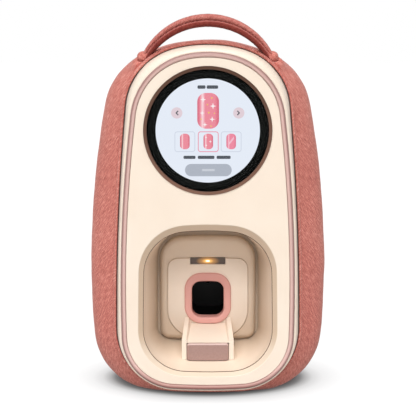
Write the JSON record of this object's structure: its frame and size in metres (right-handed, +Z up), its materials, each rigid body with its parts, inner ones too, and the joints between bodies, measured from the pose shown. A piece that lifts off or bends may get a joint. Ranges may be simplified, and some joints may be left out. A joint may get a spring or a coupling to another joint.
{
  "type": "nail printer",
  "caption": "Countertop printer for nail art: a fabric-covered body with a carrying handle, a round screen and a finger bay with a soft port, a rest and a push button.",
  "frame": {"origin": "on the standing surface, under the middle of the body", "axes": "+Z up along the height, -Y towards the user at the screen side, +X to the right as seen from the front"},
  "size_m": [0.202, 0.16, 0.33],
  "materials": {
    "cover_fabric": "woven, heathered dusty rose",
    "cream_shell": "satin cream",
    "bay_plastic": "satin warm beige",
    "rose_trim": "pearl rose",
    "silicone": "matte pink silicone",
    "mauve_button": "satin mauve",
    "dark_bezel": "dark brown",
    "cover_glass": "black printed border",
    "display_lit": "lit screen",
    "amber_window": "lit amber diffuser",
    "black_plastic": "matte black",
    "inner_plastic": "grey moulding",
    "latch_plastic": "rose",
    "base_plastic": "satin taupe",
    "rubber_feet": "matte",
    "belt_rubber": "matte",
    "steel": "ground",
    "spacer_brass": "plain",
    "chassis_steel": "zinc plated",
    "motor_case": "satin",
    "socket_metal": "plated",
    "circuit_board": "solder mask",
    "battery_wrap": "shrink wrap",
    "core_plastic": "plain",
    "power_cap": "satin rose"
  },
  "bodies": {
    "housing": {"base_plate": "base_plastic", "battery_pack": "battery_wrap", "bay_block": "bay_plastic", "bay_plate": "bay_plastic", "board_screws": "steel", "board_spacers": "spacer_brass", "camera_module": "black_plastic", "case_screws": "steel", "display_bezel": "dark_bezel", "display_board": "circuit_board", "display_cup": "black_plastic", "display_glass": "cover_glass", "door_hinge_pin": "steel", "fabric_cover": "cover_fabric", "fabric_hem": "cover_fabric", "feet": "rubber_feet", "finger_port_collar": "silicone", "finger_rest": "bay_plastic", "front_frame": "cream_shell", "front_panel": "cream_shell", "handle_lugs": "steel", "lcd_panel": "display_lit", "led_board": "circuit_board", "led_window": "amber_window", "main_board": "circuit_board", "panel_screws": "steel", "port_board": "circuit_board", "power_socket": "socket_metal", "power_switch": "black_plastic", "print_chamber": "black_plastic", "print_chassis": "chassis_steel", "rear_panel": "cream_shell", "rear_shell": "inner_plastic", "recess_bowl": "bay_plastic", "rest_button_spring": "steel", "rest_button_switch": "black_plastic", "slide_rails": "steel", "speaker": "black_plastic", "stage_motor": "motor_case", "trim_ring": "rose_trim"},
    "handle": {"handle_strap": "cover_fabric", "handle_core": "core_plastic", "handle_ends": "cover_fabric", "handle_pins": "steel"},
    "rest_button": {"rest_button": "mauve_button"},
    "cartridge_door": {"cartridge_door": "cream_shell"},
    "power_button": {"power_button": "power_cap"},
    "cross_slide": {"cross_slide": "inner_plastic", "guide_rods": "steel", "belt_motor": "motor_case", "idler_axle": "steel", "drive_belt": "belt_rubber"},
    "carriage": {"carriage": "inner_plastic", "ink_cartridge": "black_plastic", "latch_pin": "steel"},
    "cartridge_latch": {"cartridge_latch": "latch_plastic"},
    "motor_pulley": {"motor_pulley": "inner_plastic"},
    "idler_pulley": {"idler_pulley": "inner_plastic"},
    "lead_screw": {"lead_screw": "steel"}
  },
  "joints": [
    {"name": "handle_swing", "type": "hinge", "parent": "housing", "child": "handle", "pos_m": [0, -0.0565, 0.29508], "axis": [1, 0, 0], "range_deg": [-20, 30]},
    {"name": "rest_button_press", "type": "slide", "parent": "housing", "child": "rest_button", "axis": [0, 1, 0], "range_m": [0, 0.0025], "stiffness_N_per_m": 400, "springref_m": -0.0005, "deforming": ["rest_button_spring"]},
    {"name": "power_button_press", "type": "slide", "parent": "housing", "child": "power_button", "axis": [0, -1, 0], "range_m": [0, 0.0012], "stiffness_N_per_m": 600, "springref_m": -0.0003},
    {"name": "cartridge_door_hinge", "type": "hinge", "parent": "housing", "child": "cartridge_door", "pos_m": [0, 0.0777, 0.1262], "axis": [-1, 0, 0], "range_deg": [0, 95]},
    {"name": "cross_slide_travel", "type": "slide", "parent": "housing", "child": "cross_slide", "axis": [0, 1, 0], "range_m": [-0.008, 0.012]},
    {"name": "carriage_travel", "type": "slide", "parent": "cross_slide", "child": "carriage", "axis": [1, 0, 0], "range_m": [-0.022, 0.022]},
    {"name": "cartridge_latch_swing", "type": "hinge", "parent": "carriage", "child": "cartridge_latch", "pos_m": [0.0189, 0.012, 0.1497], "axis": [0, 1, 0], "range_deg": [0, 80]},
    {"name": "motor_pulley_turn", "type": "hinge", "parent": "cross_slide", "child": "motor_pulley", "pos_m": [-0.04, 0.036, 0.141], "axis": [0, 1, 0], "continuous": true},
    {"name": "idler_pulley_turn", "type": "hinge", "parent": "cross_slide", "child": "idler_pulley", "pos_m": [0.04, 0.036, 0.141], "axis": [0, 1, 0], "continuous": true},
    {"name": "lead_screw_turn", "type": "hinge", "parent": "housing", "child": "lead_screw", "pos_m": [-0.057, -0.009, 0.112], "axis": [0, 1, 0], "continuous": true}
  ],
  "couplings": [
    {"joint": "motor_pulley_turn", "follows": "carriage_travel", "rad_per_m": -181.82},
    {"joint": "idler_pulley_turn", "follows": "carriage_travel", "rad_per_m": -181.82},
    {"joint": "lead_screw_turn", "follows": "cross_slide_travel", "rad_per_m": 1570.8}
  ]
}
